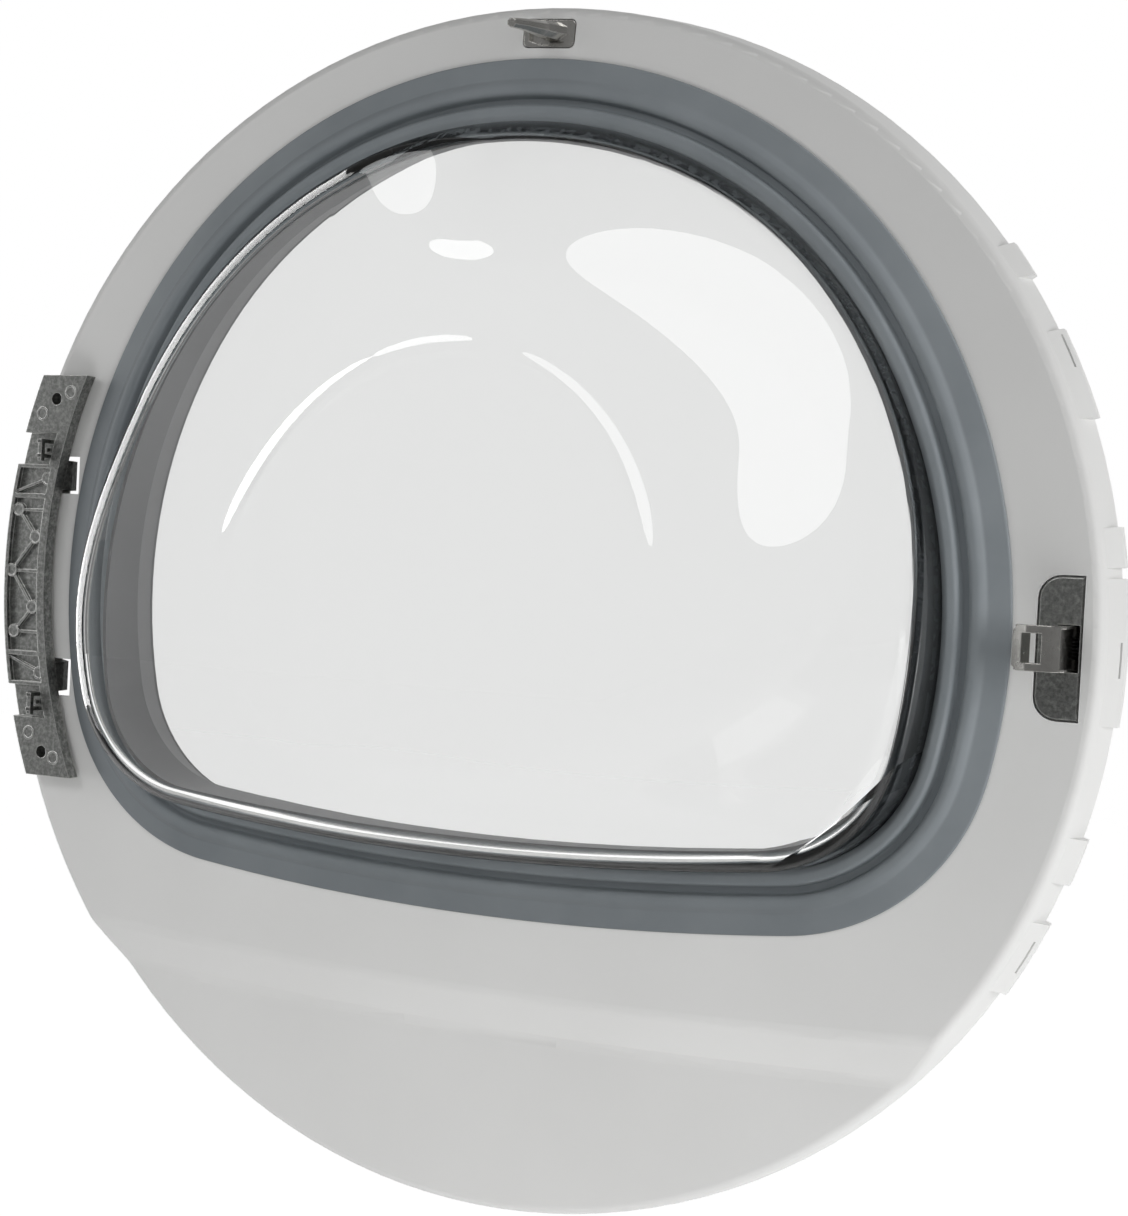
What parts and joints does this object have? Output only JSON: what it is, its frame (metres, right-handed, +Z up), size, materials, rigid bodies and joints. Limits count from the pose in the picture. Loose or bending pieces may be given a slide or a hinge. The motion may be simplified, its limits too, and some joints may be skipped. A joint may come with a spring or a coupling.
{
  "type": "laundry appliance door",
  "caption": "Round laundry door with a D-shaped pressed glass bowl, lipped seal, stepped inner frame, die-cast two-arm hinge and sprung catch hook.",
  "frame": {"origin": "middle of the two hinge screws, on the seating face of the hinge plate", "axes": "+Z up, +Y out of the drum side towards the machine, +X away from the door centre on the hinge side"},
  "size_m": [0.4893, 0.0863, 0.488],
  "materials": {
    "frame_plastic": "fine satin moulded surface, light grey",
    "ring_plastic": "white, smooth",
    "seal_rubber": "smooth blue-grey",
    "bowl_glass": "clear pressed glass",
    "pane_glass": "clear flat pane",
    "tunnel_plastic": "dark grey satin",
    "zinc": "die-cast zinc, mottled",
    "hook_nickel": "nickel plated, slightly warm",
    "screw_steel": "bright zinc plated",
    "bush_plastic": "natural acetal"
  },
  "bodies": {
    "hinge": {"hinge_plate": "zinc", "hinge_bush_upper": "bush_plastic", "hinge_bush_lower": "bush_plastic"},
    "door": {"inner_frame": "frame_plastic", "outer_ring": "ring_plastic", "door_seal": "seal_rubber", "glass_bowl": "bowl_glass", "glass_retainer": "tunnel_plastic", "window_trim": "tunnel_plastic", "window_pane": "pane_glass", "retainer_screws": "screw_steel", "hinge_bearing": "zinc", "hinge_pin_upper": "screw_steel", "hinge_pin_lower": "screw_steel", "hinge_bearing_screws": "screw_steel", "lock_plate": "zinc", "lock_pin": "screw_steel", "lock_spring": "screw_steel", "lock_screws": "screw_steel", "switch_peg": "hook_nickel", "peg_screw": "screw_steel"},
    "catch": {"lock_hook": "hook_nickel"}
  },
  "joints": [
    {"name": "door_swing", "type": "hinge", "parent": "hinge", "child": "door", "pos_m": [0.0148, -0.021, 0], "axis": [0, 0, 1], "range_deg": [0, 105]},
    {"name": "catch_pivot", "type": "hinge", "parent": "door", "child": "catch", "pos_m": [-0.44121, -0.019, -0.004], "axis": [0, 0, 1], "range_deg": [0, 10], "stiffness_Nm_per_rad": 0.15, "springref_deg": -20.05, "deforming": ["lock_spring"]}
  ]
}
